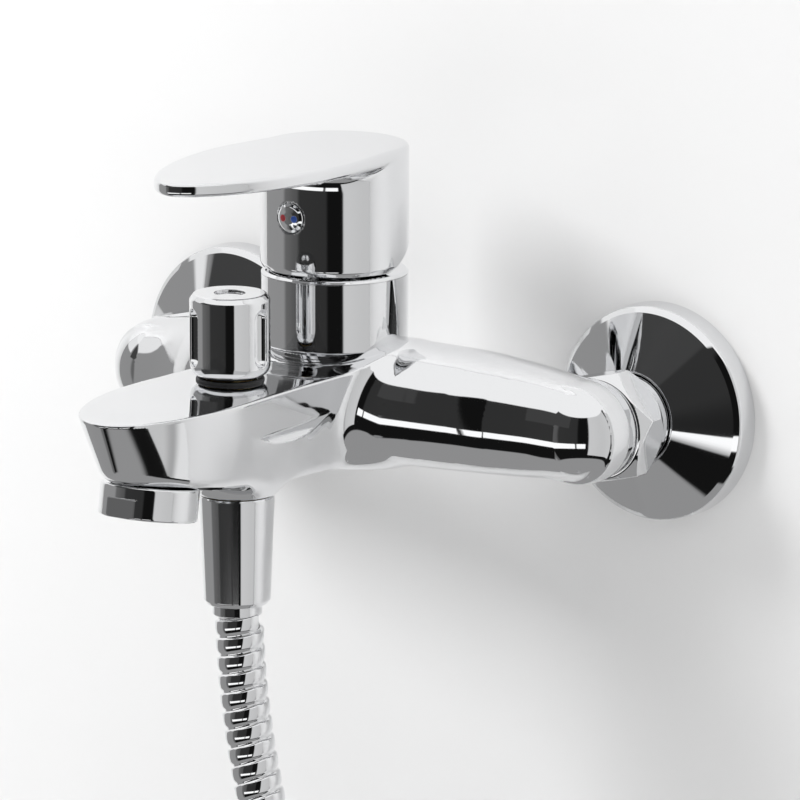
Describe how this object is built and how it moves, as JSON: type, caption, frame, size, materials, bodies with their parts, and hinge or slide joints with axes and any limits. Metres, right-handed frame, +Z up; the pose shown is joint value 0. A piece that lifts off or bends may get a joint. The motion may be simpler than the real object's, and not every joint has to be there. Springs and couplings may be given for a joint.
{
  "type": "wall mounted bath faucet",
  "caption": "Wall-mounted single-lever bath mixer with a short spout, a pull-up diverter knob, wall escutcheons and a flexible shower hose.",
  "frame": {"origin": "on the finished wall, midway between the two inlet axes and at their height", "axes": "+Y into the wall, so the front faces -Y; +Z up; +X to the cold side, on the right of someone facing the mixer"},
  "size_m": [0.2132, 0.1834, 0.3664],
  "materials": {
    "chrome_plate": "polished chrome plate on brass",
    "brass": "machined",
    "stainless_steel": "turned",
    "white_plastic": "moulded",
    "grey_plastic": "moulded",
    "ceramic": "ground ceramic",
    "black_rubber": "matt",
    "chrome_hose": "spiral-wound chromed strip",
    "tie_strap": "moulded"
  },
  "bodies": {
    "mixer": {"body_casting": "chrome_plate", "cover_ring": "chrome_plate", "aerator_housing": "chrome_plate", "left_union_nut": "chrome_plate", "right_union_nut": "chrome_plate", "left_escutcheon": "chrome_plate", "right_escutcheon": "chrome_plate", "hose_nut": "chrome_plate", "hose_end_nut": "chrome_plate", "cartridge_nut": "brass", "diverter_gland": "brass", "left_inlet_nipple": "brass", "right_inlet_nipple": "brass", "left_eccentric_union": "brass", "right_eccentric_union": "brass", "shower_outlet_nipple": "brass", "hose_ferrule": "brass", "hose_end_ferrule": "brass", "diverter_spring": "stainless_steel", "cartridge_base": "white_plastic", "cartridge_casing": "white_plastic", "aerator_insert": "grey_plastic", "ceramic_disc_fixed": "ceramic", "seal_hot": "black_rubber", "seal_cold": "black_rubber", "seal_outlet": "black_rubber", "diverter_o_ring": "black_rubber", "aerator_gasket": "black_rubber", "left_union_washer": "black_rubber", "right_union_washer": "black_rubber", "hose_washer": "black_rubber", "hose_end_washer": "black_rubber", "shower_hose": "chrome_hose", "hose_coil": "chrome_hose", "hose_tail": "chrome_hose", "hose_tie": "tie_strap"},
    "carrier": {"cartridge_carrier": "grey_plastic", "lever_pin": "stainless_steel"},
    "disc": {"ceramic_disc_moving": "ceramic"},
    "lever": {"cartridge_lever": "stainless_steel", "handle": "chrome_plate", "handle_grub_screw": "stainless_steel", "temperature_indicator": "chrome_plate"},
    "diverter": {"diverter_knob": "chrome_plate", "diverter_stem": "brass", "diverter_seal_upper": "black_rubber", "diverter_seal_lower": "black_rubber", "stem_o_ring": "black_rubber"}
  },
  "joints": [
    {"name": "temperature", "type": "hinge", "parent": "mixer", "child": "carrier", "pos_m": [0, -0.057, 0.038], "axis": [0, 0, 1], "range_deg": [-45, 45]},
    {"name": "lever_lift", "type": "hinge", "parent": "carrier", "child": "lever", "pos_m": [0, -0.057, 0.038], "axis": [-1, 0, 0], "range_deg": [0, 25]},
    {"name": "disc_slide", "type": "slide", "parent": "carrier", "child": "disc", "axis": [0, -1, 0], "range_m": [0, 0.0046]},
    {"name": "diverter_pull", "type": "slide", "parent": "mixer", "child": "diverter", "axis": [0, 0, 1], "range_m": [0, 0.0065], "stiffness_N_per_m": 150, "springref_m": -0.01, "deforming": ["diverter_spring"]}
  ],
  "couplings": [
    {"joint": "disc_slide", "follows": "lever_lift", "m_per_rad": 0.0105}
  ]
}
